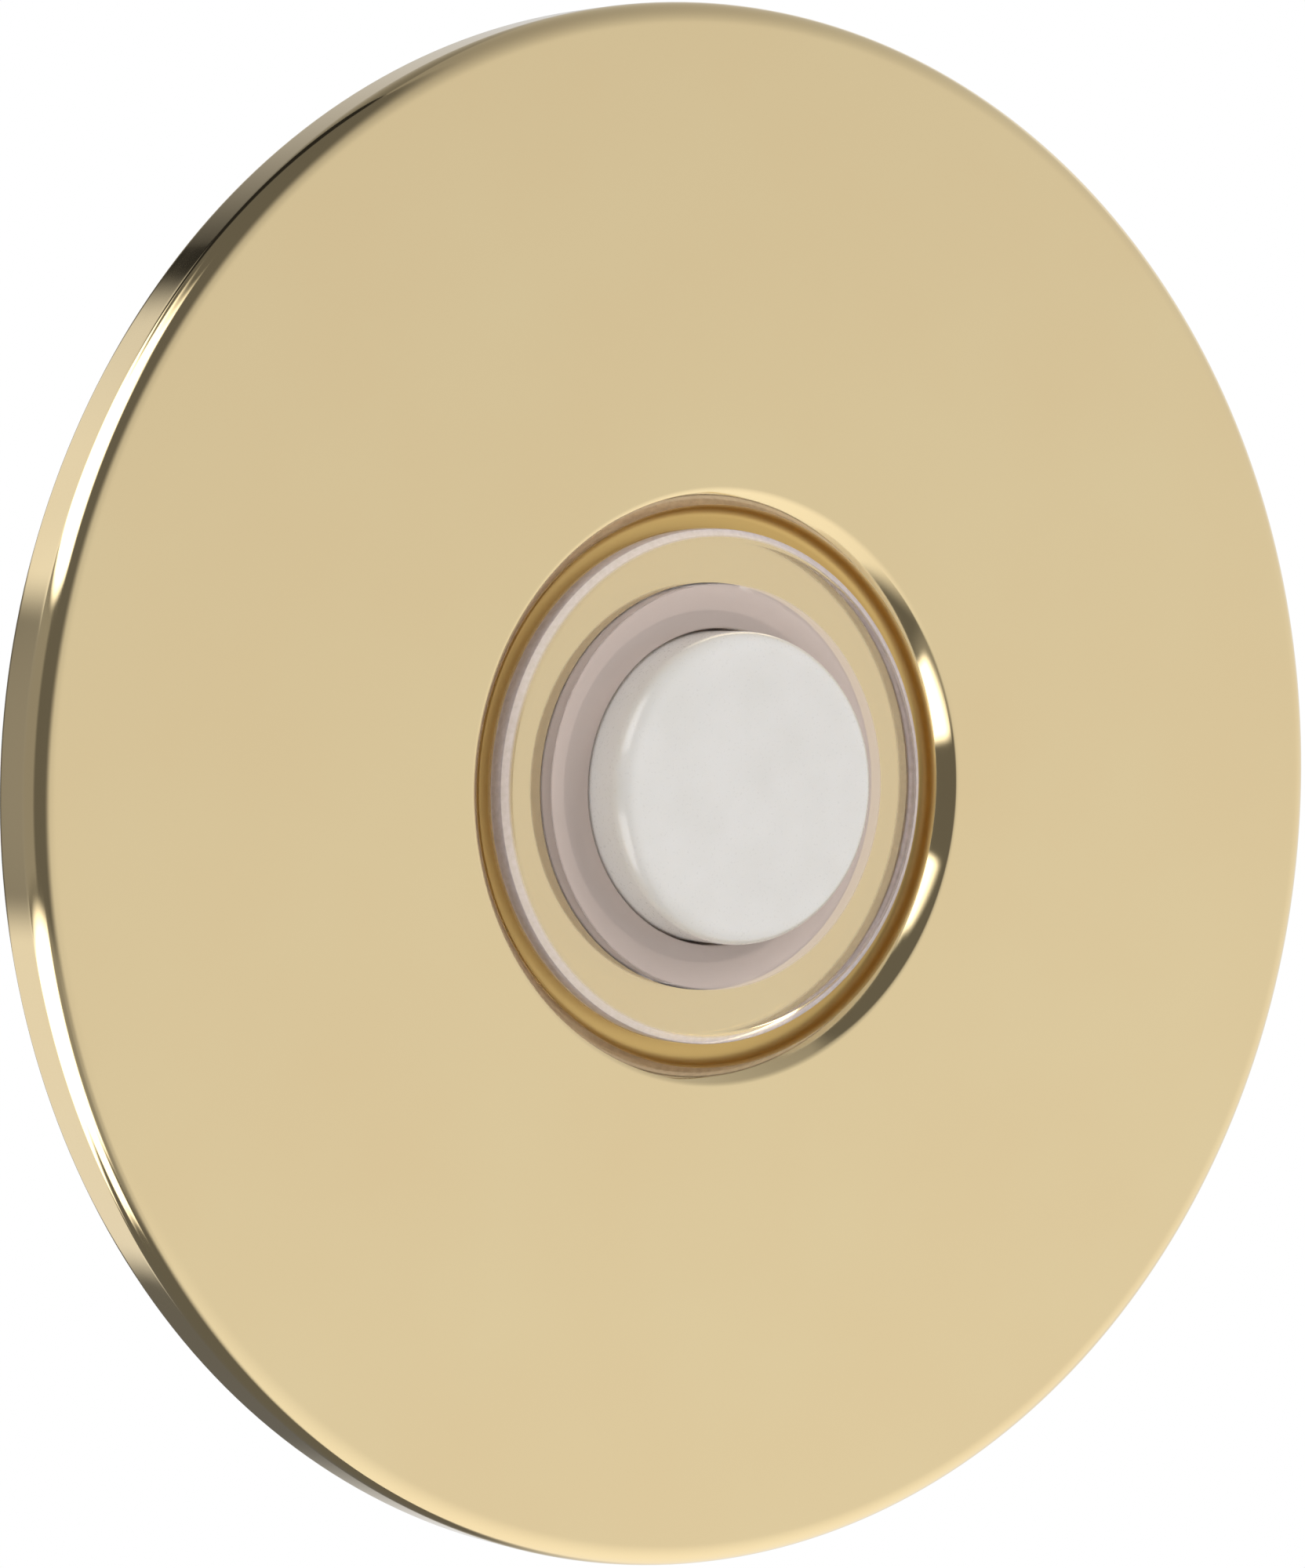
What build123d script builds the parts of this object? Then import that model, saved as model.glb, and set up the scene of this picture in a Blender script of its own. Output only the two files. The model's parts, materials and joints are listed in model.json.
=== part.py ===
from build123d import *
import os

# Round doorbell push button on a polished plate, with its barrel going back into the wall.
# Millimetres, +Z up. The wall's face is the plane y = 0, the button looks towards -Y
# and the barrel runs along +Y. Every turned piece is revolved about the Y axis from a
# section drawn with x as the radius and y as the depth.

# Plate: one drawn sheet with a turned-back rim and a shallow recess
plate_radius = 31.75
plate_depth = 2.8
plate_sheet = 0.7
rim_corner_radius = 0.9
rim_edge_radius = 0.15
lip_mouth_radius = 12.3
lip_corner_radius = 0.8
recess_depth = 1.4
recess_floor_fillet = 0.5
floor_hole_radius = 8.3

# Clear lens ring that lies in the recess, with an open groove round it
lens_thickness = 1.15
lens_groove_width = 1.0
lens_seat_gap = 0.03
lens_bevel_width = 0.43
lens_bevel_height = 0.32
lens_back_chamfer = 0.15
lens_edge_softening = 0.08
lens_bore_softening = 0.12
neck_wall = 0.75
neck_reach = 2.6

# Button cap, hollow from behind
cap_radius = 6.35
cap_stand_out = 2.25
cap_edge_radius = 0.8
cap_wall = 1.15
cap_front_thickness = 1.2
cap_flange_thickness = 1.2
cap_flange_overhang = 0.5
cap_stop_gap = 0.1
cap_running_clearance = 0.1
flange_running_clearance = 0.05
button_travel = 1.2

# Barrel that passes through the wall
barrel_wall = 0.9
barrel_end_y = 22.0
collar_clearance = 0.15
collar_wall_gap = 0.05
neck_glue_gap = 0.03
rib_count = 8
rib_height = 0.2
rib_width = 0.8
rib_start_y = 1.5
rib_length = 11.0
rib_taper = 3.0
barrel_lead_in = 0.25
window_width = 3.2
window_length = 1.5
window_margin = 0.9

# Toothed spring nut behind the plate's floor
nut_radius = 10.0
nut_sheet = 0.3
nut_band_width = 0.9
nut_tooth_rise = 0.25
nut_tooth_count = 10
nut_slot_width = 0.8
nut_clearance = 0.02

# Contact ring staked to the cap
ring_thickness = 0.4
ring_hole_radius = 3.3
ring_edge_gap = 0.25
stake_count = 4
stake_start_angle = 45
stake_radius = 0.4
stake_circle_radius = 5.75
stake_clearance = 0.03
stake_head_radius = 0.65
stake_head_height = 0.3

# Return spring
spring_radius = 3.9
spring_wire_radius = 0.225
spring_length = 6.8
spring_turns = 5.5

# Lamp and its holder
lamp_radius = 2.5
lamp_length = 8.6
lamp_rim_radius = 2.9
lamp_rim_height = 1.0
holder_nose_height = 1.5
holder_nose_gap = 0.45
holder_flange_radius = 4.5
holder_flange_thickness = 1.0
holder_floor = 1.2
holder_tube_wall = 0.6
holder_foot = 0.8
holder_spigot_radius = 1.5
holder_spigot_length = 1.1
holder_slot_width = 0.9
holder_slot_length = 1.1
socket_clearance = 0.04
lead_radius = 0.25
lead_spacing = 2.54
lead_hole_clearance = 0.1
lead_bend_radius = 0.7
resistor_radius = 0.7
resistor_waist_radius = 0.58
resistor_length = 3.4
resistor_end_length = 0.7
resistor_bead_softening = 0.1
resistor_offset_y = 3.0
resistor_side_gap = 0.08

# Terminal base that closes the barrel
base_spigot_length = 3.0
base_spigot_clearance = 0.05
base_flange_thickness = 1.5
base_edge_chamfer = 0.3
barrier_width = 1.0
barrier_height = 1.6
barrier_length = 11.0
lug_clearance = 0.1
lug_height = 0.65
lug_angles = (90, 270)
socket_depth = 1.3

# Contact strips
strip_sheet = 0.35
strip_width = 3.0
strip_bend_radius = 0.7
strip_wall_gap = 0.6
strip_finger_reach = 1.55
foot_width = 2.0
contact_radius = 0.75
contact_height = 0.6
contact_dome = 0.2
contact_inset = 1.0
contact_reserve = 0.1

# Terminals
terminal_inset = 3.05
terminal_sheet = 0.8
terminal_inner_gap = 0.7
terminal_rim_gap = 0.5
terminal_top = 3.1
terminal_bottom = 5.75
terminal_corner = 0.4
rivet_drop = 4.1
rivet_radius = 0.9
rivet_clearance = 0.03
rivet_head_radius = 1.05
rivet_head_height = 0.35
washer_side = 4.9
washer_thickness = 0.5
washer_corner = 0.5
screw_radius = 1.5
screw_clearance = 0.04
screw_reach = 2.2
screw_hole_depth = 2.8
screw_tip_chamfer = 0.35
screw_head_radius = 2.5
screw_head_height = 1.4
screw_head_softening = 0.5
screw_slot_width = 0.7
screw_slot_depth = 0.75
screw_slot_angles = (25, -40)

# Depths worked out from the sizes above, from the front to the back
wall_y = 0.0
face_y = wall_y - plate_depth
floor_front_y = face_y + recess_depth
floor_back_y = floor_front_y + plate_sheet
lens_back_y = floor_front_y - lens_seat_gap
lens_front_y = floor_front_y - lens_thickness
neck_end_y = floor_front_y + neck_reach
collar_end_y = wall_y - collar_wall_gap
window_y = barrel_end_y - window_margin - window_length / 2
cap_front_y = lens_front_y - cap_stand_out
flange_front_y = neck_end_y + cap_stop_gap
flange_back_y = flange_front_y + cap_flange_thickness
ring_back_y = flange_back_y + ring_thickness
contact_front_y = ring_back_y + button_travel + contact_reserve
finger_front_y = contact_front_y + contact_height
spring_back_y = ring_back_y + spring_length
holder_front_y = spring_back_y - holder_nose_height
lamp_tip_y = holder_front_y - lamp_length
tube_front_y = spring_back_y + holder_flange_thickness
base_front_y = barrel_end_y - base_spigot_length
base_back_y = barrel_end_y + base_flange_thickness
terminal_back_y = base_back_y + terminal_sheet
washer_back_y = terminal_back_y + washer_thickness
holder_pocket_y = base_front_y - holder_foot
lead_exit_y = holder_pocket_y - holder_slot_length / 2
resistor_front_y = holder_front_y + resistor_offset_y
resistor_back_y = resistor_front_y + resistor_length
strip_foot_y = base_front_y - strip_sheet

# Radii worked out from the sizes above
recess_radius = lip_mouth_radius - lip_corner_radius
lens_radius = recess_radius - lens_groove_width
lens_bore_radius = cap_radius + cap_running_clearance
neck_radius = lens_bore_radius + neck_wall
cap_flange_radius = cap_radius + cap_flange_overhang
barrel_bore_radius = cap_flange_radius + flange_running_clearance
barrel_radius = barrel_bore_radius + barrel_wall
collar_radius = floor_hole_radius - collar_clearance
neck_seat_radius = neck_radius + neck_glue_gap
cap_hollow_radius = cap_radius - cap_wall
ring_radius = cap_flange_radius - ring_edge_gap
spigot_radius = barrel_bore_radius - base_spigot_clearance
terminal_offset = spigot_radius - terminal_inset
strip_outer_x = barrel_bore_radius - strip_wall_gap
strip_inner_x = strip_outer_x - strip_sheet
contact_x = strip_outer_x - contact_inset
lead_x = lead_spacing / 2
holder_bore_radius = lead_x + resistor_radius + resistor_side_gap
holder_tube_radius = holder_bore_radius + holder_tube_wall
holder_nose_radius = spring_radius - spring_wire_radius - holder_nose_gap
nut_tooth_radius = collar_radius + nut_clearance
nut_bend_radius = nut_radius - nut_band_width
foot_inner_x = terminal_offset - foot_width / 2

os.makedirs("parts", exist_ok=True)


def upright_plane(y):
    """Return the plane across the barrel at depth y: drawn with X across and Z up."""
    return Plane.XZ.offset(-y)


def radial_plane(angle):
    """Return the plane through the Y axis at an angle: drawn with radius across, depth up."""
    return Plane.XY.rotated((0, -angle, 0))


# Escutcheon plate: the front surface is drawn as one path and given the sheet's thickness
with BuildPart() as escutcheon_plate:
    with BuildSketch(Plane.XY):
        with BuildLine():
            plate_front = FilletPolyline(
                (floor_hole_radius, floor_front_y),
                (recess_radius, floor_front_y),
                (recess_radius, face_y),
                (plate_radius, face_y),
                (plate_radius, wall_y),
                radius=(recess_floor_fillet, lip_corner_radius, rim_corner_radius),
            )
            offset(plate_front, amount=plate_sheet, side=Side.LEFT)
        make_face()
    revolve(axis=Axis.Y)
    rim_edges = escutcheon_plate.edges().filter_by(GeomType.CIRCLE).group_by(Axis.Y)[-1]
    fillet(rim_edges, rim_edge_radius)
escutcheon_plate.part.label = "escutcheon_plate"
export_step(escutcheon_plate.part, "parts/escutcheon_plate.step")

# Lens ring: a bevelled clear flange with a thin neck that goes through the floor's hole
with BuildPart() as lens_ring:
    with BuildSketch(Plane.XY):
        with BuildLine():
            Polyline(
                (lens_bore_radius, lens_front_y),
                (lens_radius, lens_front_y),
                (lens_radius, lens_back_y),
                (neck_radius, lens_back_y),
                (neck_radius, neck_end_y),
                (lens_bore_radius, neck_end_y),
                close=True,
            )
        make_face()
    revolve(axis=Axis.Y)
    outer_edges = lens_ring.edges().filter_by(GeomType.CIRCLE).sort_by(SortBy.RADIUS)[-2:]
    front_outer_edge = outer_edges.sort_by(Axis.Y)[0]
    back_outer_edge = outer_edges.sort_by(Axis.Y)[-1]
    chamfer(back_outer_edge, lens_back_chamfer)
    flange_front = lens_ring.faces().filter_by(GeomType.PLANE).sort_by(Axis.Y)[0]
    chamfer(front_outer_edge, lens_bevel_height, lens_bevel_width, reference=flange_front)
    soft_edges = lens_ring.edges().filter_by(GeomType.CIRCLE).group_by(Axis.Y)[:2]
    bevel_front_edge = soft_edges[0].sort_by(SortBy.RADIUS)[-1]
    bore_front_edge = soft_edges[0].sort_by(SortBy.RADIUS)[0]
    bevel_back_edge = soft_edges[1].sort_by(SortBy.RADIUS)[-1]
    fillet((bevel_front_edge, bevel_back_edge), lens_edge_softening)
    fillet(bore_front_edge, lens_bore_softening)
lens_ring.part.label = "lens_ring"
export_step(lens_ring.part, "parts/lens_ring.step")

# Button cap: a cup with a stop flange and stakes for the contact ring
with BuildPart() as button_cap:
    with BuildSketch(Plane.XY):
        with BuildLine():
            Polyline(
                (0, cap_front_y),
                (cap_radius, cap_front_y),
                (cap_radius, flange_front_y),
                (cap_flange_radius, flange_front_y),
                (cap_flange_radius, flange_back_y),
                (cap_hollow_radius, flange_back_y),
                (cap_hollow_radius, cap_front_y + cap_front_thickness),
                (0, cap_front_y + cap_front_thickness),
                close=True,
            )
        make_face()
    revolve(axis=Axis.Y)
    cap_front_edge = button_cap.edges().filter_by(GeomType.CIRCLE).group_by(Axis.Y)[0]
    fillet(cap_front_edge, cap_edge_radius)
    with BuildSketch(upright_plane(flange_back_y)):
        with PolarLocations(stake_circle_radius, stake_count, start_angle=stake_start_angle):
            Circle(stake_radius)
    extrude(amount=-ring_thickness)
    with BuildSketch(upright_plane(ring_back_y)):
        with PolarLocations(stake_circle_radius, stake_count, start_angle=stake_start_angle):
            Circle(stake_head_radius)
    extrude(amount=-stake_head_height)
    head_edges = button_cap.edges().filter_by(GeomType.CIRCLE).group_by(Axis.Y)[-1]
    fillet(head_edges, stake_head_height / 2)
button_cap.part.label = "button_cap"
export_step(button_cap.part, "parts/button_cap.step")

# Barrel housing: collar in the plate's hole, bore for the cap, crush ribs, snap windows
with BuildPart() as barrel_housing:
    with BuildSketch(Plane.XY):
        with BuildLine():
            Polyline(
                (neck_seat_radius, floor_front_y),
                (collar_radius, floor_front_y),
                (collar_radius, collar_end_y),
                (barrel_radius, collar_end_y),
                (barrel_radius, barrel_end_y),
                (barrel_bore_radius, barrel_end_y),
                (barrel_bore_radius, neck_end_y),
                (neck_seat_radius, neck_end_y),
                close=True,
            )
        make_face()
    revolve(axis=Axis.Y)
    end_edges = barrel_housing.edges().filter_by(GeomType.CIRCLE).group_by(Axis.Y)[-1]
    chamfer(end_edges, barrel_lead_in)
    for rib in range(rib_count):
        with BuildSketch(radial_plane((rib + 0.5) * 360 / rib_count)):
            with BuildLine():
                Polyline(
                    (barrel_bore_radius + rib_height, rib_start_y),
                    (barrel_radius + rib_height, rib_start_y),
                    (barrel_radius + rib_height, rib_start_y + rib_length - rib_taper),
                    (barrel_radius, rib_start_y + rib_length),
                    (barrel_bore_radius + rib_height, rib_start_y + rib_length),
                    close=True,
                )
            make_face()
        extrude(amount=rib_width / 2, both=True)
    with BuildSketch(Plane.XY):
        with Locations((0, window_y)):
            Rectangle(window_width, window_length)
    extrude(amount=barrel_radius + rib_height, both=True, mode=Mode.SUBTRACT)
barrel_housing.part.label = "barrel_housing"
export_step(barrel_housing.part, "parts/barrel_housing.step")

# Push nut: a flat band with sprung teeth that bite on the collar behind the plate
with BuildPart() as push_nut:
    with BuildSketch(Plane.XY):
        with BuildLine():
            nut_front = Polyline(
                (nut_radius, floor_back_y),
                (nut_bend_radius, floor_back_y),
                (nut_tooth_radius, floor_back_y + nut_tooth_rise),
            )
            offset(nut_front, amount=nut_sheet, side=Side.RIGHT)
        make_face()
    revolve(axis=Axis.Y)
    with BuildSketch(upright_plane(wall_y)):
        with PolarLocations((nut_tooth_radius + nut_bend_radius) / 2, nut_tooth_count):
            SlotOverall(nut_bend_radius - nut_tooth_radius + 2 * nut_slot_width, nut_slot_width)
        Circle(nut_bend_radius, mode=Mode.INTERSECT)
    extrude(amount=plate_depth, mode=Mode.SUBTRACT)
push_nut.part.label = "push_nut"
export_step(push_nut.part, "parts/push_nut.step")

# Contact ring: a flat washer that the cap's stakes hold
with BuildPart() as contact_ring:
    with BuildSketch(upright_plane(flange_back_y)):
        Circle(ring_radius)
        Circle(ring_hole_radius, mode=Mode.SUBTRACT)
        with PolarLocations(stake_circle_radius, stake_count, start_angle=stake_start_angle):
            Circle(stake_radius + stake_clearance, mode=Mode.SUBTRACT)
    extrude(amount=-ring_thickness)
contact_ring.part.label = "contact_ring"
export_step(contact_ring.part, "parts/contact_ring.step")

# Return spring: round wire in a helix, both ends ground flat on their seats
with BuildPart() as return_spring:
    with BuildLine():
        coil = Helix(
            pitch=spring_length / spring_turns,
            height=spring_length,
            radius=spring_radius,
            center=(0, ring_back_y, 0),
            direction=(0, 1, 0),
        )
    with BuildSketch(Plane(origin=coil @ 0, z_dir=coil % 0)):
        Circle(spring_wire_radius)
    sweep(path=coil, is_frenet=True)
    split(bisect_by=upright_plane(ring_back_y), keep=Keep.BOTTOM)
    split(bisect_by=upright_plane(spring_back_y), keep=Keep.TOP)
return_spring.part.label = "return_spring"
export_step(return_spring.part, "parts/return_spring.step")

# Lamp: a domed clear body with a rim at its foot
with BuildPart() as lamp:
    with BuildSketch(Plane.XY):
        with BuildLine():
            Line((0, lamp_tip_y), (0, holder_front_y))
            Polyline(
                (0, holder_front_y),
                (lamp_rim_radius, holder_front_y),
                (lamp_rim_radius, holder_front_y - lamp_rim_height),
                (lamp_radius, holder_front_y - lamp_rim_height),
                (lamp_radius, lamp_tip_y + lamp_radius),
            )
            RadiusArc((lamp_radius, lamp_tip_y + lamp_radius), (0, lamp_tip_y), lamp_radius)
        make_face()
    revolve(axis=Axis.Y)
    with BuildSketch(upright_plane(holder_front_y)):
        with Locations((-lamp_rim_radius, 0)):
            Rectangle(2 * (lamp_rim_radius - lamp_radius), 2 * lamp_rim_radius)
    extrude(amount=lamp_rim_height, mode=Mode.SUBTRACT)
lamp.part.label = "lamp"
export_step(lamp.part, "parts/lamp.step")

# Lamp holder: a nose and a flange for the spring, a tube for the leads, a spigot in the base
with BuildPart() as lamp_holder:
    with BuildSketch(Plane.XY):
        with BuildLine():
            Polyline(
                (0, holder_front_y),
                (holder_nose_radius, holder_front_y),
                (holder_nose_radius, spring_back_y),
                (holder_flange_radius, spring_back_y),
                (holder_flange_radius, tube_front_y),
                (holder_tube_radius, tube_front_y),
                (holder_tube_radius, base_front_y),
                (holder_spigot_radius, base_front_y),
                (holder_spigot_radius, base_front_y + holder_spigot_length),
                (0, base_front_y + holder_spigot_length),
                close=True,
            )
        make_face()
        with BuildLine():
            Polyline(
                (0, holder_front_y + holder_floor),
                (holder_bore_radius, holder_front_y + holder_floor),
                (holder_bore_radius, holder_pocket_y),
                (0, holder_pocket_y),
                close=True,
            )
        make_face(mode=Mode.SUBTRACT)
    revolve(axis=Axis.Y)
    with BuildSketch(upright_plane(holder_front_y)):
        with Locations((-lead_x, 0), (lead_x, 0)):
            Circle(lead_radius + lead_hole_clearance)
    extrude(amount=-holder_floor, mode=Mode.SUBTRACT)
    with BuildSketch(Plane.XY):
        with Locations((0, lead_exit_y)):
            Rectangle(2 * holder_tube_radius, holder_slot_length)
    extrude(amount=holder_slot_width / 2, both=True, mode=Mode.SUBTRACT)
lamp_holder.part.label = "lamp_holder"
export_step(lamp_holder.part, "parts/lamp_holder.step")

# Left lamp lead: straight through the holder, then out to the left contact strip
with BuildPart() as lamp_lead_left:
    with BuildLine():
        left_route = FilletPolyline(
            (-lead_x, holder_front_y),
            (-lead_x, lead_exit_y),
            (-strip_inner_x, lead_exit_y),
            radius=lead_bend_radius,
        )
    with BuildSketch(Plane(origin=left_route @ 0, z_dir=left_route % 0)):
        Circle(lead_radius)
    sweep(path=left_route)
lamp_lead_left.part.label = "lamp_lead_left"
export_step(lamp_lead_left.part, "parts/lamp_lead_left.step")

# Right lamp lead: straight from the lamp to the resistor
with BuildPart() as lamp_lead_right:
    with BuildSketch(upright_plane(holder_front_y)):
        with Locations((lead_x, 0)):
            Circle(lead_radius)
    extrude(amount=-resistor_offset_y)
lamp_lead_right.part.label = "lamp_lead_right"
export_step(lamp_lead_right.part, "parts/lamp_lead_right.step")

# Resistor: a waisted body in line with the right lead, its own lead goes to the right strip
with BuildPart() as resistor:
    with BuildSketch(Plane.XY):
        with BuildLine():
            Polyline(
                (lead_x, resistor_front_y),
                (lead_x + resistor_radius, resistor_front_y),
                (lead_x + resistor_radius, resistor_front_y + resistor_end_length),
                (lead_x + resistor_waist_radius, resistor_front_y + resistor_end_length),
                (lead_x + resistor_waist_radius, resistor_back_y - resistor_end_length),
                (lead_x + resistor_radius, resistor_back_y - resistor_end_length),
                (lead_x + resistor_radius, resistor_back_y),
                (lead_x, resistor_back_y),
                close=True,
            )
        make_face()
    revolve(axis=Axis((lead_x, 0, 0), (0, 1, 0)))
    bead_edges = resistor.edges().filter_by(GeomType.CIRCLE).sort_by(SortBy.RADIUS)[-4:]
    fillet(bead_edges, resistor_bead_softening)
    with BuildLine():
        right_route = FilletPolyline(
            (lead_x, resistor_back_y),
            (lead_x, lead_exit_y),
            (strip_inner_x, lead_exit_y),
            radius=lead_bend_radius,
        )
    with BuildSketch(Plane(origin=right_route @ 0, z_dir=right_route % 0)):
        Circle(lead_radius)
    sweep(path=right_route)
resistor.part.label = "resistor"
export_step(resistor.part, "parts/resistor.step")

# Right contact strip: foot, upright and sprung finger in one bent strip
with BuildPart() as contact_strip_right:
    with BuildSketch(Plane.XY):
        with BuildLine():
            strip_outside = FilletPolyline(
                (foot_inner_x, base_front_y),
                (strip_outer_x, base_front_y),
                (strip_outer_x, finger_front_y),
                (strip_outer_x - strip_finger_reach, finger_front_y),
                radius=strip_bend_radius,
            )
            offset(strip_outside, amount=strip_sheet, side=Side.RIGHT)
        make_face()
    extrude(amount=strip_width / 2, both=True)
    with BuildSketch(upright_plane(strip_foot_y)):
        with Locations((terminal_offset, -rivet_drop / 2)):
            SlotCenterToCenter(rivet_drop, foot_width, rotation=90)
    extrude(amount=-strip_sheet)
    with BuildSketch(upright_plane(strip_foot_y)):
        with Locations((terminal_offset, -rivet_drop)):
            Circle(rivet_radius + rivet_clearance)
    extrude(amount=-strip_sheet, mode=Mode.SUBTRACT)
contact_strip_right.part.label = "contact_strip_right"
export_step(contact_strip_right.part, "parts/contact_strip_right.step")

# Left contact strip: the other hand
with BuildPart() as contact_strip_left:
    mirror(contact_strip_right.part, about=Plane.YZ)
contact_strip_left.part.label = "contact_strip_left"
export_step(contact_strip_left.part, "parts/contact_strip_left.step")

# Contact points: one domed silver button on each finger
with BuildPart() as contact_points:
    with BuildSketch(upright_plane(finger_front_y)):
        with Locations((-contact_x, 0), (contact_x, 0)):
            Circle(contact_radius)
    extrude(amount=contact_height)
    point_edges = contact_points.edges().filter_by(GeomType.CIRCLE).group_by(Axis.Y)[0]
    fillet(point_edges, contact_dome)
contact_points.part.label = "contact_points"
export_step(contact_points.part, "parts/contact_points.step")

# Terminal base: spigot with snap lugs, flange, sockets for the holder, screws and rivets
with BuildPart() as terminal_base:
    with BuildSketch(Plane.XY):
        with BuildLine():
            Polyline(
                (0, base_front_y),
                (spigot_radius, base_front_y),
                (spigot_radius, barrel_end_y),
                (barrel_radius, barrel_end_y),
                (barrel_radius, base_back_y),
                (0, base_back_y),
                close=True,
            )
        make_face()
    revolve(axis=Axis.Y)
    round_edges = terminal_base.edges().filter_by(GeomType.CIRCLE)
    chamfer((round_edges.sort_by(Axis.Y)[0], round_edges.sort_by(Axis.Y)[-1]), base_edge_chamfer)
    for lug_angle in lug_angles:
        with BuildSketch(radial_plane(lug_angle)):
            with BuildLine():
                Polyline(
                    (spigot_radius - lug_height, window_y - window_length / 2 + lug_clearance),
                    (spigot_radius, window_y - window_length / 2 + lug_clearance),
                    (spigot_radius + lug_height, window_y + window_length / 2 - lug_clearance),
                    (spigot_radius - lug_height, window_y + window_length / 2 - lug_clearance),
                    close=True,
                )
            make_face()
        extrude(amount=window_width / 2 - lug_clearance, both=True)
    with BuildSketch(upright_plane(base_back_y)):
        Rectangle(barrier_width, barrier_length)
    extrude(amount=-barrier_height)
    with BuildSketch(upright_plane(base_front_y)):
        Circle(holder_spigot_radius + socket_clearance)
    extrude(amount=-socket_depth, mode=Mode.SUBTRACT)
    with BuildSketch(upright_plane(base_front_y)):
        with Locations((-terminal_offset, -rivet_drop), (terminal_offset, -rivet_drop)):
            Circle(rivet_radius + rivet_clearance)
    extrude(amount=base_front_y - base_back_y, mode=Mode.SUBTRACT)
    with BuildSketch(upright_plane(base_back_y)):
        with Locations((-terminal_offset, 0), (terminal_offset, 0)):
            Circle(screw_radius + screw_clearance)
    extrude(amount=screw_hole_depth, mode=Mode.SUBTRACT)
terminal_base.part.label = "terminal_base"
export_step(terminal_base.part, "parts/terminal_base.step")

# Right terminal plate: flat brass with a screw hole and a rivet hole
with BuildPart() as terminal_plate_right:
    with BuildSketch(upright_plane(base_back_y)) as plate_outline:
        with Locations((barrier_width / 2 + terminal_inner_gap, terminal_top)):
            Rectangle(barrel_radius, terminal_top + terminal_bottom, align=(Align.MIN, Align.MAX))
        Circle(barrel_radius - terminal_rim_gap, mode=Mode.INTERSECT)
        fillet(plate_outline.vertices(), terminal_corner)
        with Locations((terminal_offset, 0)):
            Circle(screw_radius + screw_clearance, mode=Mode.SUBTRACT)
        with Locations((terminal_offset, -rivet_drop)):
            Circle(rivet_radius + rivet_clearance, mode=Mode.SUBTRACT)
    extrude(amount=-terminal_sheet)
terminal_plate_right.part.label = "terminal_plate_right"
export_step(terminal_plate_right.part, "parts/terminal_plate_right.step")

# Left terminal plate: the other hand
with BuildPart() as terminal_plate_left:
    mirror(terminal_plate_right.part, about=Plane.YZ)
terminal_plate_left.part.label = "terminal_plate_left"
export_step(terminal_plate_left.part, "parts/terminal_plate_left.step")

# Terminal rivets: each joins a strip's foot, the base and a terminal plate
with BuildPart() as terminal_rivets:
    for front_y, radius, length in (
        (strip_foot_y - rivet_head_height, rivet_head_radius, rivet_head_height),
        (strip_foot_y, rivet_radius, terminal_back_y - strip_foot_y),
        (terminal_back_y, rivet_head_radius, rivet_head_height),
    ):
        with BuildSketch(upright_plane(front_y)):
            with Locations((-terminal_offset, -rivet_drop), (terminal_offset, -rivet_drop)):
                Circle(radius)
        extrude(amount=-length)
    rivet_edges = terminal_rivets.edges().filter_by(GeomType.CIRCLE).group_by(Axis.Y)
    fillet(rivet_edges[0] + rivet_edges[-1], rivet_head_height / 2)
terminal_rivets.part.label = "terminal_rivets"
export_step(terminal_rivets.part, "parts/terminal_rivets.step")

# Terminal washers: square clamp washers under the screw heads
with BuildPart() as terminal_washers:
    with BuildSketch(upright_plane(terminal_back_y)):
        with Locations((-terminal_offset, 0), (terminal_offset, 0)):
            RectangleRounded(washer_side, washer_side, washer_corner)
            Circle(screw_radius + screw_clearance, mode=Mode.SUBTRACT)
    extrude(amount=-washer_thickness)
terminal_washers.part.label = "terminal_washers"
export_step(terminal_washers.part, "parts/terminal_washers.step")

# Terminal screws: slotted binding heads on plain shanks
with BuildPart() as terminal_screws:
    with BuildSketch(upright_plane(base_back_y - screw_reach)):
        with Locations((-terminal_offset, 0), (terminal_offset, 0)):
            Circle(screw_radius)
    extrude(amount=base_back_y - screw_reach - washer_back_y)
    tip_edges = terminal_screws.edges().filter_by(GeomType.CIRCLE).group_by(Axis.Y)[0]
    chamfer(tip_edges, screw_tip_chamfer)
    with BuildSketch(upright_plane(washer_back_y)):
        with Locations((-terminal_offset, 0), (terminal_offset, 0)):
            Circle(screw_head_radius)
    extrude(amount=-screw_head_height)
    head_edges = terminal_screws.edges().filter_by(GeomType.CIRCLE).group_by(Axis.Y)[-1]
    fillet(head_edges, screw_head_softening)
    for screw_x, slot_angle in zip((-terminal_offset, terminal_offset), screw_slot_angles):
        with BuildSketch(upright_plane(washer_back_y + screw_head_height)):
            with Locations((screw_x, 0)):
                Rectangle(2 * screw_head_radius, screw_slot_width, rotation=slot_angle)
        extrude(amount=screw_slot_depth, mode=Mode.SUBTRACT)
terminal_screws.part.label = "terminal_screws"
export_step(terminal_screws.part, "parts/terminal_screws.step")
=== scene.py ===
"""Looks of a round recessed doorbell push button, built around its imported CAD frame.

The wall's face is the plane y = 0, +Z is up, the button looks towards -Y and the barrel runs
along +Y. Sizes in the classes are in millimetres, as on a drawing, and MM turns them to metres.
What the polished brass mirrors is painted in the studio, by direction.
"""

import json
import logging
import math
from collections.abc import Sequence
from dataclasses import dataclass
from enum import Enum
from typing import Any

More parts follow.
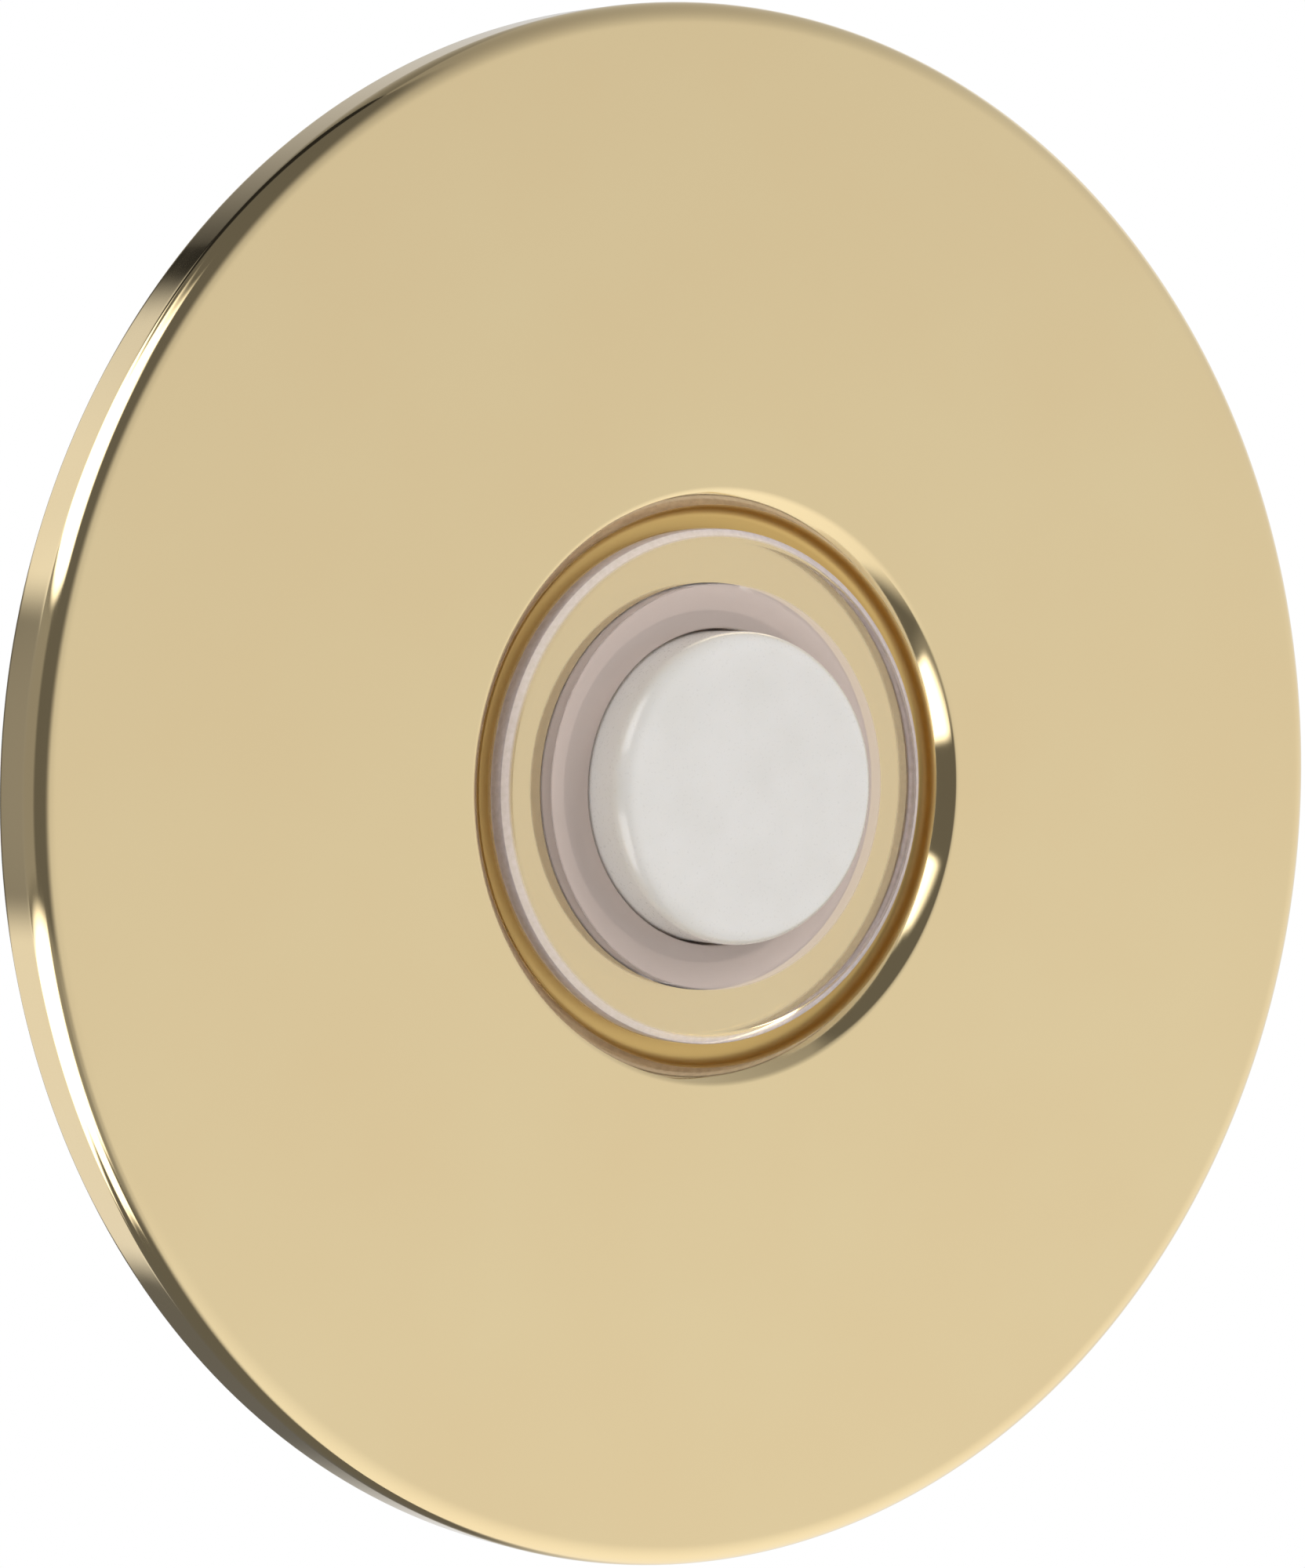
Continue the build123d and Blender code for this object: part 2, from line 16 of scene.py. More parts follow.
import bpy
from bpy.types import Material, Node, NodeSocket, NodeTree, Object
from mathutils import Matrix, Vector

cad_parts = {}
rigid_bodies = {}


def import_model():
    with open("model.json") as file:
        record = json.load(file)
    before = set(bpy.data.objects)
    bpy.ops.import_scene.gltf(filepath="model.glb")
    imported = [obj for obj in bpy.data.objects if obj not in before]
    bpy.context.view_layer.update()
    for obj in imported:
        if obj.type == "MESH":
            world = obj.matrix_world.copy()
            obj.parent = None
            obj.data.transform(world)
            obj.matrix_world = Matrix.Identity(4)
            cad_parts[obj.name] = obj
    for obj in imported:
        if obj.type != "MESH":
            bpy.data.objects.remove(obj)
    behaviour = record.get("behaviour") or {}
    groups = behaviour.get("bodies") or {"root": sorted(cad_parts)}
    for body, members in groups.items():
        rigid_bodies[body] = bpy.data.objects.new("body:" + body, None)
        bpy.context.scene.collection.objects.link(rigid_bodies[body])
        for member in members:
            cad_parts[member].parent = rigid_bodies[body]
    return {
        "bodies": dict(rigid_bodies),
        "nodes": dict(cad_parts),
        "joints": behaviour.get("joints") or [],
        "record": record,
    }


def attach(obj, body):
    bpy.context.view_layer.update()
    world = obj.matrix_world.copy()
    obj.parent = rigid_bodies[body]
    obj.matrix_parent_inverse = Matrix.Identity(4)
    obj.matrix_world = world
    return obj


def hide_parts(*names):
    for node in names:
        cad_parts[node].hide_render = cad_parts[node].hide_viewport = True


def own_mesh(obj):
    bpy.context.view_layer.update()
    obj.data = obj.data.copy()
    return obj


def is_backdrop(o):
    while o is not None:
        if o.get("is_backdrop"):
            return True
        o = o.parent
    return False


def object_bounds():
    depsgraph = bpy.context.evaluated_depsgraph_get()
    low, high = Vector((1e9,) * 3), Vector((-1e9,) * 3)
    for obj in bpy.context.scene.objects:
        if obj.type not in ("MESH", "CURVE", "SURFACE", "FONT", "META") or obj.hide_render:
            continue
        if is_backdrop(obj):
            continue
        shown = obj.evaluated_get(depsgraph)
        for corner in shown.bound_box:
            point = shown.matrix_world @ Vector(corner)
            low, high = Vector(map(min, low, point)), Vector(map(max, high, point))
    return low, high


MM = 0.001
LOG = logging.getLogger("doorbell")
# A noise pattern's values lie mostly between these two
NOISE_LOW, NOISE_HIGH = 0.3, 0.7

Pair = tuple[float, float]
Triple = tuple[float, float, float]
Edges = tuple[float, float, float, float]
Profile = list[Pair]


class Body(Enum):
    """The CAD bodies that pieces ride on."""

    FIXED = "root"
    BUTTON = "button"


class Slot(Enum):
    """The record's material slots, by name; nothing here gives a piece one."""

    PLATE = "polished_brass"
    LENS = "clear_acrylic"
    CAP = "white_button"
    SPRING = "spring_steel"
    WIRE = "tinned_wire"


def linear(hex_colour: str) -> tuple[float, float, float, float]:
    """Turns an sRGB hex colour into linear light.

    Args:
        hex_colour: A colour such as "#F2E1AF".

    Returns:
        Red, green, blue and an alpha of 1, all linear.
    """
    channels = (int(hex_colour[place : place + 2], 16) / 255 for place in (1, 3, 5))
    return *(c / 12.92 if c <= 0.04045 else ((c + 0.055) / 1.055) ** 2.4 for c in channels), 1.0


def marks(place: Node | NodeSocket, millimetres: float, detail: float = 2.0) -> dict:
    """Gives the inputs of a pattern.

    Args:
        place: Coordinates that the pattern follows.
        millimetres: How far across one of its marks is.
        detail: How many finer layers it has.

    Returns:
        The inputs by name.
    """
    return {"Vector": place, "Scale": 1.0 / (millimetres * MM), "Detail": detail}


def add_node(tree: NodeTree, kind: str, inputs: dict | None = None, **settings: Any) -> Node:
    """Adds one shader node with its settings, values and links.

    Args:
        tree: The tree that the node goes into.
        kind: Blender's name of the node type.
        inputs: Values for the input sockets, by name or number. A socket or a node is linked.
        settings: Properties of the node itself.

    Returns:
        The new node.
    """
    node = tree.nodes.new(kind)
    for name, value in settings.items():
        setattr(node, name, value)
    for key, value in (inputs or {}).items():
        if isinstance(key, int):
            socket = node.inputs[key]
        else:
            socket = next(s for s in node.inputs if s.name == key and s.enabled)
        if isinstance(value, Node):
            value = next(s for s in value.outputs if s.enabled)
        if isinstance(value, NodeSocket):
            tree.links.new(value, socket)
        else:
            socket.default_value = value
    return node


def mix(tree: NodeTree, share: Any, first: Any, second: Any, kind: str = "FLOAT") -> Node:
    """Adds a mix of two values or colours, each given as itself, a socket or a node.

    Args:
        tree: The tree that the mix goes into.
        share: The share of the second.
        first: What is mixed.
        second: What is mixed into it.
        kind: "FLOAT" for values, "RGBA" for colours.

    Returns:
        The node that gives the mix.
    """
    inputs = {"Factor": share, "A": first, "B": second}
    return add_node(tree, "ShaderNodeMix", inputs, data_type=kind)


def compute(tree: NodeTree, operation: str, *values: Any) -> Node:
    """Adds one step of arithmetic.

    Args:
        tree: The tree that the step goes into.
        operation: Blender's name of the operation.
        values: Its operands, each a value, a socket or a node.

    Returns:
        The node that gives the result.
    """
    return add_node(tree, "ShaderNodeMath", dict(enumerate(values)), operation=operation)


def new_material(name: str) -> tuple[Material, NodeTree, NodeSocket]:
    """Starts a node material.

    Args:
        name: The real material and how its surface was made.

    Returns:
        The material, its tree and the socket of its object coordinates.
    """
    material = bpy.data.materials.new(name)
    material.use_nodes = True
    tree = material.node_tree
    tree.nodes.clear()
    return material, tree, add_node(tree, "ShaderNodeTexCoord").outputs["Object"]


def distance_from_axis(tree: NodeTree, place: NodeSocket) -> NodeSocket:
    """Measures how far a point is from the button's axis.

    Args:
        tree: The material's tree.
        place: Object coordinates.

    Returns:
        The socket that gives the distance in metres.
    """
    flat = add_node(tree, "ShaderNodeMapping", {"Vector": place, "Scale": (1.0, 0.0, 1.0)})
    length = add_node(tree, "ShaderNodeVectorMath", {0: flat}, operation="LENGTH")
    return length.outputs["Value"]


def deselect_all() -> None:
    """Leaves object mode with nothing selected."""
    if bpy.context.mode != "OBJECT":
        bpy.ops.object.mode_set(mode="OBJECT")
    bpy.ops.object.select_all(action="DESELECT")


def close_up() -> None:
    """Turns the faces of the mesh in edit mode outwards and goes back to object mode."""
    bpy.ops.mesh.select_all(action="SELECT")
    bpy.ops.mesh.normals_make_consistent(inside=False)
    bpy.ops.object.mode_set(mode="OBJECT")


def arc(centre: Pair, radius: float, start: float, end: float, steps: int) -> Profile:
    """Gives points on an arc of a section.

    Args:
        centre: Radius and depth of the arc's centre.
        radius: The arc's radius.
        start: Degrees from the outward direction towards +Y where it starts.
        end: Degrees where it ends.
        steps: Number of steps.

    Returns:
        The points, both ends with them.
    """
    angles = (math.radians(start + (end - start) * step / steps) for step in range(steps + 1))
    return [(centre[0] + radius * math.cos(a), centre[1] + radius * math.sin(a)) for a in angles]


def turned(
    name: str,
    profile: Profile,
    segments: int,
    centre: Pair = (0.0, 0.0),
    closed: bool = True,
) -> Object:
    """Turns a piece as on a lathe, ring after ring, about an axis along Y.

    Args:
        name: The piece's name.
        profile: Radius and depth of each ring.
        segments: Edges in each ring.
        centre: Where the axis stands, across and up.
        closed: Whether the last ring joins the first, as round the wall of a tube. If not, a
            flat face closes each end.

    Returns:
        The piece, with its place in its mesh.
    """
    deselect_all()
    radius, depth = profile[0]
    across, up = centre[0] * MM, centre[1] * MM
    bpy.ops.mesh.primitive_circle_add(
        vertices=segments,
        radius=radius * MM,
        location=(across, depth * MM, up),
        rotation=(math.radians(90), 0, 0),
    )
    piece = bpy.context.object
    piece.name = name
    bpy.ops.object.transform_apply(location=True, rotation=True, scale=True)
    bpy.ops.object.mode_set(mode="EDIT")
    bpy.ops.mesh.select_all(action="SELECT")
    rings = profile[1:] + ([profile[0]] if closed else [])
    for next_radius, next_depth in rings:
        step = {"value": (0, (next_depth - depth) * MM, 0)}
        bpy.ops.mesh.extrude_region_move(TRANSFORM_OT_translate=step)
        share = next_radius / radius
        bpy.ops.transform.resize(
            value=(share, 1, share), center_override=(across, next_depth * MM, up)
        )
        radius, depth = next_radius, next_depth
    bpy.ops.mesh.select_all(action="SELECT")
    bpy.ops.mesh.remove_doubles(threshold=0.001 * MM)
    if not closed:
        bpy.ops.mesh.select_all(action="DESELECT")
        bpy.ops.mesh.select_non_manifold(extend=False)
        bpy.ops.mesh.edge_face_add()
    close_up()
    bpy.ops.object.shade_smooth_by_angle(angle=math.radians(30))
    return piece


def join(pieces: Sequence[Object], name: str) -> Object:
    """Joins pieces into the first and names it.

    Args:
        pieces: The pieces, each with its own mesh.
        name: Name of the joined piece.

    Returns:
        The joined piece.
    """
    deselect_all()
    for piece in pieces:
        piece.select_set(True)
    bpy.context.view_layer.objects.active = pieces[0]
    bpy.ops.object.join()
    pieces[0].name = name
    return pieces[0]


def hand_over(
    piece: Object,
    material: Material,
    body: Body,
    stands_for: Sequence[str] = (),
) -> None:
    """Dresses a new piece and lets it ride a CAD body.

    Args:
        piece: The piece.
        material: Its finish.
        body: The body it moves with.
        stands_for: CAD nodes that it is shown in place of.
    """
    piece.data.materials.clear()
    piece.data.materials.append(material)
    if stands_for:
        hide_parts(*stands_for)
    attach(piece, body.value)
    LOG.info("built %s in %s, %d faces", piece.name, material.name, len(piece.data.polygons))


def dress(frame: dict, material: Material, nodes: Sequence[str]) -> None:
    """Puts a finish on CAD nodes.

    Args:
        material: The finish.
        nodes: Names of the CAD nodes that get it.
    """
    for name in nodes:
        node = frame["nodes"][name]
        if not node.data.materials:
            node.data.materials.append(material)
        for place in node.material_slots:
            place.material = material
        LOG.info("dressed %s in %s", name, material.name)


@dataclass(frozen=True)
class PolishedBrass:
    """Brass sheet, drawn, polished on a wheel and lacquered.

    The eye gets a pale gold mirror, a little soft, with faint haze left by the mop. The back
    of the sheet was never polished: it is duller and darker, with rings from the drawing tool.
    In the groove round the clear ring a deeper gold is painted as shade, under a rougher, softer
    surface.
    """

    name: str = "brass_drawn_polished_lacquered"
    gold: str = "#F4E0B0"
    warm_gold: str = "#F2D9A8"
    # Painted shade: the deeper gold of the groove round the clear ring
    groove_painted_shade_gold: str = "#E3C078"
    raw: str = "#B79A5E"
    raw_dark: str = "#8F7642"
    haze_mm: float = 9.0
    wipe_mm: float = 1.6
    wipe_stretch: float = 0.16
    drawing_ring_mm: float = 2.2
    raw_side_facing: Pair = (0.25, 0.6)
    relief_mm: float = 0.02
    relief_strength: float = 0.03
    polished_roughness: Pair = (0.05, 0.09)
    drawn_roughness: Pair = (0.3, 0.46)
    groove_roughness: float = 0.42
    lacquer: float = 0.3
    lacquer_roughness: float = 0.04
    groove_depths_mm: Pair = (-2.4, -2.1)
    groove_starts_mm: Pair = (10.42, 10.55)
    groove_ends_mm: float = 11.47

    def build(self) -> Material:
        """Builds the finish.

        Returns:
            The material.
        """
        material, tree, place = new_material(self.name)
        groove = self.add_groove(tree, place)
        facing = add_node(tree, "ShaderNodeNewGeometry").outputs["Normal"]
        backward = add_node(tree, "ShaderNodeSeparateXYZ", {0: facing}).outputs[1]
        low, high = self.raw_side_facing
        raw_side = add_node(tree, "ShaderNodeMapRange", {"Value": backward, 1: low, 2: high})
        haze = add_node(tree, "ShaderNodeTexNoise", marks(place, self.haze_mm, 3.0))
        stretched = {"Vector": place, "Scale": (1.0, 1.0, self.wipe_stretch)}
        stretched = add_node(tree, "ShaderNodeMapping", stretched)
        wipe = add_node(tree, "ShaderNodeTexNoise", marks(stretched, self.wipe_mm, 4.0))
        # The drawing rings are finer than a render shows, so they are drawn this far apart. A
        # wave pattern's rings stand tau / 20 of a mark apart.
        rings = {**marks(place, self.drawing_ring_mm * 20 / math.tau, 3.0), "Distortion": 1.5}
        rings = add_node(tree, "ShaderNodeTexWave", rings, wave_type="RINGS", rings_direction="Y")
        gold = mix(tree, haze, linear(self.gold), linear(self.warm_gold), "RGBA")
        # Painted shade: a deeper gold in the groove round the clear ring
        gold = mix(tree, groove, gold, linear(self.groove_painted_shade_gold), "RGBA")
        raw = mix(tree, haze, linear(self.raw), linear(self.raw_dark), "RGBA")
        colour = mix(tree, raw_side, gold, raw, "RGBA")
        low, high = self.polished_roughness
        polished = {"Value": wipe, 1: 0.3, 2: 0.75, 3: low, 4: high}
        polished = add_node(tree, "ShaderNodeMapRange", polished)
        # The groove is also rougher, which blurs what it mirrors
        roughness_with_groove = mix(tree, groove, polished, self.groove_roughness)
        low, high = self.drawn_roughness
        drawn = add_node(tree, "ShaderNodeMapRange", {"Value": haze, 3: low, 4: high})
        roughness = mix(tree, raw_side, roughness_with_groove, drawn)
        relief = mix(tree, raw_side, wipe, rings)
        bump = {"Height": relief, "Strength": self.relief_strength, "Distance": self.relief_mm * MM}
        bump = add_node(tree, "ShaderNodeBump", bump)
        surface = {
            "Base Color": colour,
            "Metallic": 1.0,
            "Roughness": roughness,
            "Normal": bump,
            "Coat Weight": self.lacquer,
            "Coat Roughness": self.lacquer_roughness,
        }
        surface = add_node(tree, "ShaderNodeBsdfPrincipled", surface)
        add_node(tree, "ShaderNodeOutputMaterial", {"Surface": surface})
        return material

    def add_groove(self, tree: NodeTree, place: NodeSocket) -> Node:
        """Marks the groove between the clear ring and the recess wall.

        Args:
            tree: The material's tree.
            place: Object coordinates.

        Returns:
            The node that gives 1 in the groove and 0 elsewhere.
        """
        depth = add_node(tree, "ShaderNodeSeparateXYZ", {0: place}).outputs[1]
        low, high = (edge * MM for edge in self.groove_depths_mm)
        sunk = add_node(tree, "ShaderNodeMapRange", {"Value": depth, 1: low, 2: high})
        radius = distance_from_axis(tree, place)
        low, high = (edge * MM for edge in self.groove_starts_mm)
        outside = add_node(tree, "ShaderNodeMapRange", {"Value": radius, 1: low, 2: high})
        groove = compute(tree, "MULTIPLY", sunk, outside)
        inside = compute(tree, "LESS_THAN", radius, self.groove_ends_mm * MM)
        return compute(tree, "MULTIPLY", groove, inside)


@dataclass(frozen=True)
class ClearMoulding:
    """Clear plastic with a polished mould's gloss and, on the ring, milky parts.

    The eye gets sharp edges of light and what lies behind, faintly bent by flow waves. The
    ring's edge was turned on a lathe and shows as a pale lilac band. Over the plate's hole
    its neck is painted milky and a little pink, as painted light over the shaded gap behind it.
    """

    name: str
    tint: str
    refraction: float
    roughness: float = 0.02
    wave_mm: float = 2.2
    wave_height_mm: float = 0.03
    turned_from_mm: float = 0.0
    turned_edge_mm: float = 0.12
    turned_grain_mm: float = 0.25
    turned_milk: Pair = (0.5, 0.62)
    turned_tint: str = "#F1E8EE"
    neck_inside_mm: float = 0.0
    neck_edge_mm: float = 0.1
    neck_painted_light_milk: float = 0.62
    neck_painted_light_tint: str = "#E4D3CA"
    milk_roughness: float = 0.35
    milk_depth_mm: float = 0.3

    def build(self) -> Material:
        """Builds the finish.

        Returns:
            The material.
        """
        material, tree, place = new_material(self.name)
        flow = add_node(tree, "ShaderNodeTexNoise", marks(place, self.wave_mm, 1.0))
        bump = {"Height": flow, "Strength": 0.2, "Distance": self.wave_height_mm * MM}
        bump = add_node(tree, "ShaderNodeBump", bump)
        surface = {
            "Base Color": linear(self.tint),
            "Roughness": self.roughness,
            "IOR": self.refraction,
            "Transmission Weight": 1.0,
            "Normal": bump,
        }
        surface = add_node(tree, "ShaderNodeBsdfPrincipled", surface)
        if self.turned_from_mm:
            surface = self.add_milk(tree, place, surface)
        add_node(tree, "ShaderNodeOutputMaterial", {"Surface": surface})
        return material

    def add_milk(self, tree: NodeTree, place: NodeSocket, clear: Node) -> Node:
        """Adds the milky turned edge outside one radius and the milky neck inside another.

        Args:
            tree: The material's tree.
            place: Object coordinates.
            clear: The shader of the polished part.

        Returns:
            The shader of all parts.
        """
        radius = distance_from_axis(tree, place)
        start = self.turned_from_mm * MM
        edge = {"Value": radius, 1: start, 2: start + self.turned_edge_mm * MM}
        edge = add_node(tree, "ShaderNodeMapRange", edge)
        # The lathe's grooves are finer than a render shows, so they are drawn as coarse grain
        grain = add_node(tree, "ShaderNodeTexNoise", marks(place, self.turned_grain_mm, 3.0))
        low, high = self.turned_milk
        milk = {"Value": grain, 1: NOISE_LOW, 2: NOISE_HIGH, 3: low, 4: high}
        milk = add_node(tree, "ShaderNodeMapRange", milk)
        share = compute(tree, "MULTIPLY", edge, milk)
        # Painted light: inside the hole's edge the neck is milky pink over the shaded gap behind it
        end = self.neck_inside_mm * MM
        neck = {"Value": radius, 1: end - self.neck_edge_mm * MM, 2: end, 3: self.neck_painted_light_milk, 4: 0.0}
        neck = add_node(tree, "ShaderNodeMapRange", neck)
        share = compute(tree, "MAXIMUM", share, neck)
        tint = mix(tree, edge, linear(self.neck_painted_light_tint), linear(self.turned_tint), "RGBA")
        milky = {
            "Base Color": tint,
            "Roughness": self.milk_roughness,
            "IOR": self.refraction,
            "Subsurface Weight": 0.3,
            "Subsurface Radius": (1.0, 1.0, 1.0),
            "Subsurface Scale": self.milk_depth_mm * MM,
        }
        milky = add_node(tree, "ShaderNodeBsdfPrincipled", milky)
        return add_node(tree, "ShaderNodeMixShader", {0: share, 1: clear, 2: milky})


@dataclass(frozen=True)
class MouldedPlastic:
    """Injection-moulded plastic, or a dipped lacquer with printed bands round it.

    The eye gets an even, slightly cloudy colour, a fine grain from the mould's wall and a
    faint change of tone where the melt flowed. A polished mould adds a clear gloss.
    """

    name: str
    colour: str
    cloud: str
    roughness: float
    depth_of_light: float = 0.0
    gloss: float = 0.0
    gloss_roughness: float = 0.06
    grain_mm: float = 0.12
    grain_height_mm: float = 0.006
    cloud_mm: float = 2.5
    light_depth_mm: float = 0.8
    bands: tuple[str, ...] = ()
    first_band_mm: float = 11.75
    band_pitch_mm: float = 0.62
    half_band_mm: float = 0.14

    def build(self) -> Material:
        """Builds the finish.

        Returns:
            The material.
        """
        material, tree, place = new_material(self.name)
        cloud = add_node(tree, "ShaderNodeTexNoise", marks(place, self.cloud_mm, 4.0))
        grain = add_node(tree, "ShaderNodeTexNoise", marks(place, self.grain_mm))
        share = add_node(tree, "ShaderNodeMapRange", {"Value": cloud, 1: 0.35, 2: 0.7})
        colour = mix(tree, share, linear(self.colour), linear(self.cloud), "RGBA")
        for number, band in enumerate(self.bands):
            depth = add_node(tree, "ShaderNodeSeparateXYZ", {0: place}).outputs[1]
            middle = (self.first_band_mm + number * self.band_pitch_mm) * MM
            inside = compute(tree, "COMPARE", depth, middle, self.half_band_mm * MM)
            colour = mix(tree, inside, colour, linear(band), "RGBA")
        low, high = self.roughness - 0.04, self.roughness + 0.05
        roughness = {"Value": grain, 1: NOISE_LOW, 2: NOISE_HIGH, 3: low, 4: high}
        roughness = add_node(tree, "ShaderNodeMapRange", roughness)
        bump = {"Height": grain, "Strength": 0.5, "Distance": self.grain_height_mm * MM}
        bump = add_node(tree, "ShaderNodeBump", bump)
        surface = {
            "Base Color": colour,
            "Roughness": roughness,
            "IOR": 1.5,
            "Subsurface Weight": self.depth_of_light,
            "Subsurface Radius": (1.0, 0.85, 0.7),
            "Subsurface Scale": self.light_depth_mm * MM,
            "Coat Weight": self.gloss,
            "Coat Roughness": self.gloss_roughness,
            "Normal": bump,
        }
        surface = add_node(tree, "ShaderNodeBsdfPrincipled", surface)
        add_node(tree, "ShaderNodeOutputMaterial", {"Surface": surface})
        return material


@dataclass(frozen=True)
class WorkedMetal:
    """Bare or plated metal with the lines of the tool that made it.

    The eye gets a soft metal gleam, drawn out along the tool's path, with a dull bloom in
    patches where fingers and air have been.
    """

    name: str
    colour: str
    bloom: str
    roughness: float
    line_mm: float = 0.08
    line_height_mm: float = 0.01
    along: Triple = (1.0, 0.04, 1.0)
    bloom_mm: float = 1.8

    def build(self) -> Material:
        """Builds the finish.

        Returns:
            The material.
        """
        material, tree, place = new_material(self.name)
        drawn_out = add_node(tree, "ShaderNodeMapping", {"Vector": place, "Scale": self.along})
        lines = add_node(tree, "ShaderNodeTexNoise", marks(drawn_out, self.line_mm))
        bloom = add_node(tree, "ShaderNodeTexNoise", marks(place, self.bloom_mm, 5.0))
        share = add_node(tree, "ShaderNodeMapRange", {"Value": bloom, 1: 0.42, 2: 0.68})
        colour = mix(tree, share, linear(self.colour), linear(self.bloom), "RGBA")
        low, high = self.roughness - 0.06, self.roughness + 0.08
        roughness = {"Value": lines, 1: NOISE_LOW, 2: NOISE_HIGH, 3: low, 4: high}
        roughness = add_node(tree, "ShaderNodeMapRange", roughness)
        bump = {"Height": lines, "Strength": 0.25, "Distance": self.line_height_mm * MM}
        bump = add_node(tree, "ShaderNodeBump", bump)
        surface = {"Base Color": colour, "Metallic": 1.0, "Roughness": roughness, "Normal": bump}
        surface = add_node(tree, "ShaderNodeBsdfPrincipled", surface)
        add_node(tree, "ShaderNodeOutputMaterial", {"Surface": surface})
        return material


@dataclass(frozen=True)
class MattPaper:
    """White paper with a matt coating.

    The eye gets a soft, almost even white that takes the object's shadow and fades away
    towards the background.
    """

    fade: Pair
    name: str = "paper_matt_white"
    white: str = "#FAF9F7"
    bright: str = "#FDFDFC"
    grain_mm: float = 1.2

    def build(self) -> Material:
        """Builds the finish.

        Returns:
            The material.
        """
        material, tree, place = new_material(self.name)
        length = add_node(tree, "ShaderNodeVectorMath", {0: place}, operation="LENGTH")
        start, end = self.fade
        fade = {"Value": length.outputs["Value"], 1: start, 2: end}
        fade = add_node(tree, "ShaderNodeMapRange", fade, interpolation_type="SMOOTHSTEP")
        grain = add_node(tree, "ShaderNodeTexNoise", marks(place, self.grain_mm))
        tone = mix(tree, grain, linear(self.white), linear(self.bright), "RGBA")
        paper = add_node(tree, "ShaderNodeBsdfDiffuse", {"Color": tone})
        clear = add_node(tree, "ShaderNodeBsdfTransparent")
        surface = add_node(tree, "ShaderNodeMixShader", {0: fade, 1: paper, 2: clear})
        add_node(tree, "ShaderNodeOutputMaterial", {"Surface": surface})
        return material


@dataclass
class Plate:
    """The brass plate: one drawn sheet with a turned-back rim, a slanted lip and a recess.

    guard is how far a plain ring stands from an arc, so that the flat beside it stays flat.
    """

    finish: PolishedBrass
    radius: float = 31.75
    face: float = -2.8
    sheet: float = 0.7
    rim_rounding: float = 0.9
    rim_edge: float = 0.15
    lip_radius: float = 12.2
    lip_rounding: float = 0.3
    slant_radius: float = 11.45
    slant_drop: float = 0.63
    bend_inset: float = 0.03
    bend_drops: Pair = (0.05, 0.12)
    wall_radius: float = 11.38
    recess_depth: float = 1.4
    floor_rounding: float = 0.4
    hole_radius: float = 8.3
    back_cove: Pair = (11.0, -1.9)
    back_cove_radius: float = 1.2
    middle: float = 22.0
    guard: float = 0.1
    segments: int = 288

    def section(self) -> Profile:
        """Gives the sheet's section, from the hole's front edge outwards and back behind.

        Returns:
            Radius and depth of each ring.
        """
        guard, face, behind = self.guard, self.face, self.face + self.sheet
        floor = face + self.recess_depth
        slant = face + self.slant_drop
        cove = (self.wall_radius - self.floor_rounding, floor - self.floor_rounding)
        rim = (self.radius - self.rim_rounding, face + self.rim_rounding)
        outer_edge = (self.radius - self.rim_edge, -self.rim_edge)
        inner_edge = (self.radius - self.sheet + self.rim_edge, -self.rim_edge)
        return [
            (self.hole_radius, floor),
            (cove[0] - guard, floor),
            *arc(cove, self.floor_rounding, 90, 0, 8),
            (self.wall_radius, cove[1] - guard / 2),
            (self.wall_radius, slant + self.bend_drops[1]),
            (self.slant_radius - self.bend_inset, slant + self.bend_drops[0]),
            (self.slant_radius, slant),
            *arc((self.lip_radius, face + self.lip_rounding), self.lip_rounding, 225, 270, 12),
            (self.lip_radius + guard, face),
            (self.middle, face),
            (rim[0] - guard, face),
            *arc(rim, self.rim_rounding, -90, 0, 28),
            (self.radius, rim[1] + guard),
            (self.radius, outer_edge[1] - guard),
            *arc(outer_edge, self.rim_edge, 0, 90, 6),
            *arc(inner_edge, self.rim_edge, 90, 180, 6),
            *arc(rim, self.rim_rounding - self.sheet, 0, -90, 6),
            (rim[0] - guard, behind),
            (self.middle, behind),
            (self.lip_radius + guard, behind),
            (self.lip_radius, behind + guard),
            *arc(self.back_cove, self.back_cove_radius, 0, 90, 10),
            (self.hole_radius, floor + self.sheet),
        ]

    def build(self) -> None:
        """Turns the plate in place of the CAD's, with rings fine enough to mirror smoothly."""
        plate = turned("plate_polished", self.section(), self.segments)
        hand_over(plate, self.finish.build(), Body.FIXED, ("escutcheon_plate",))


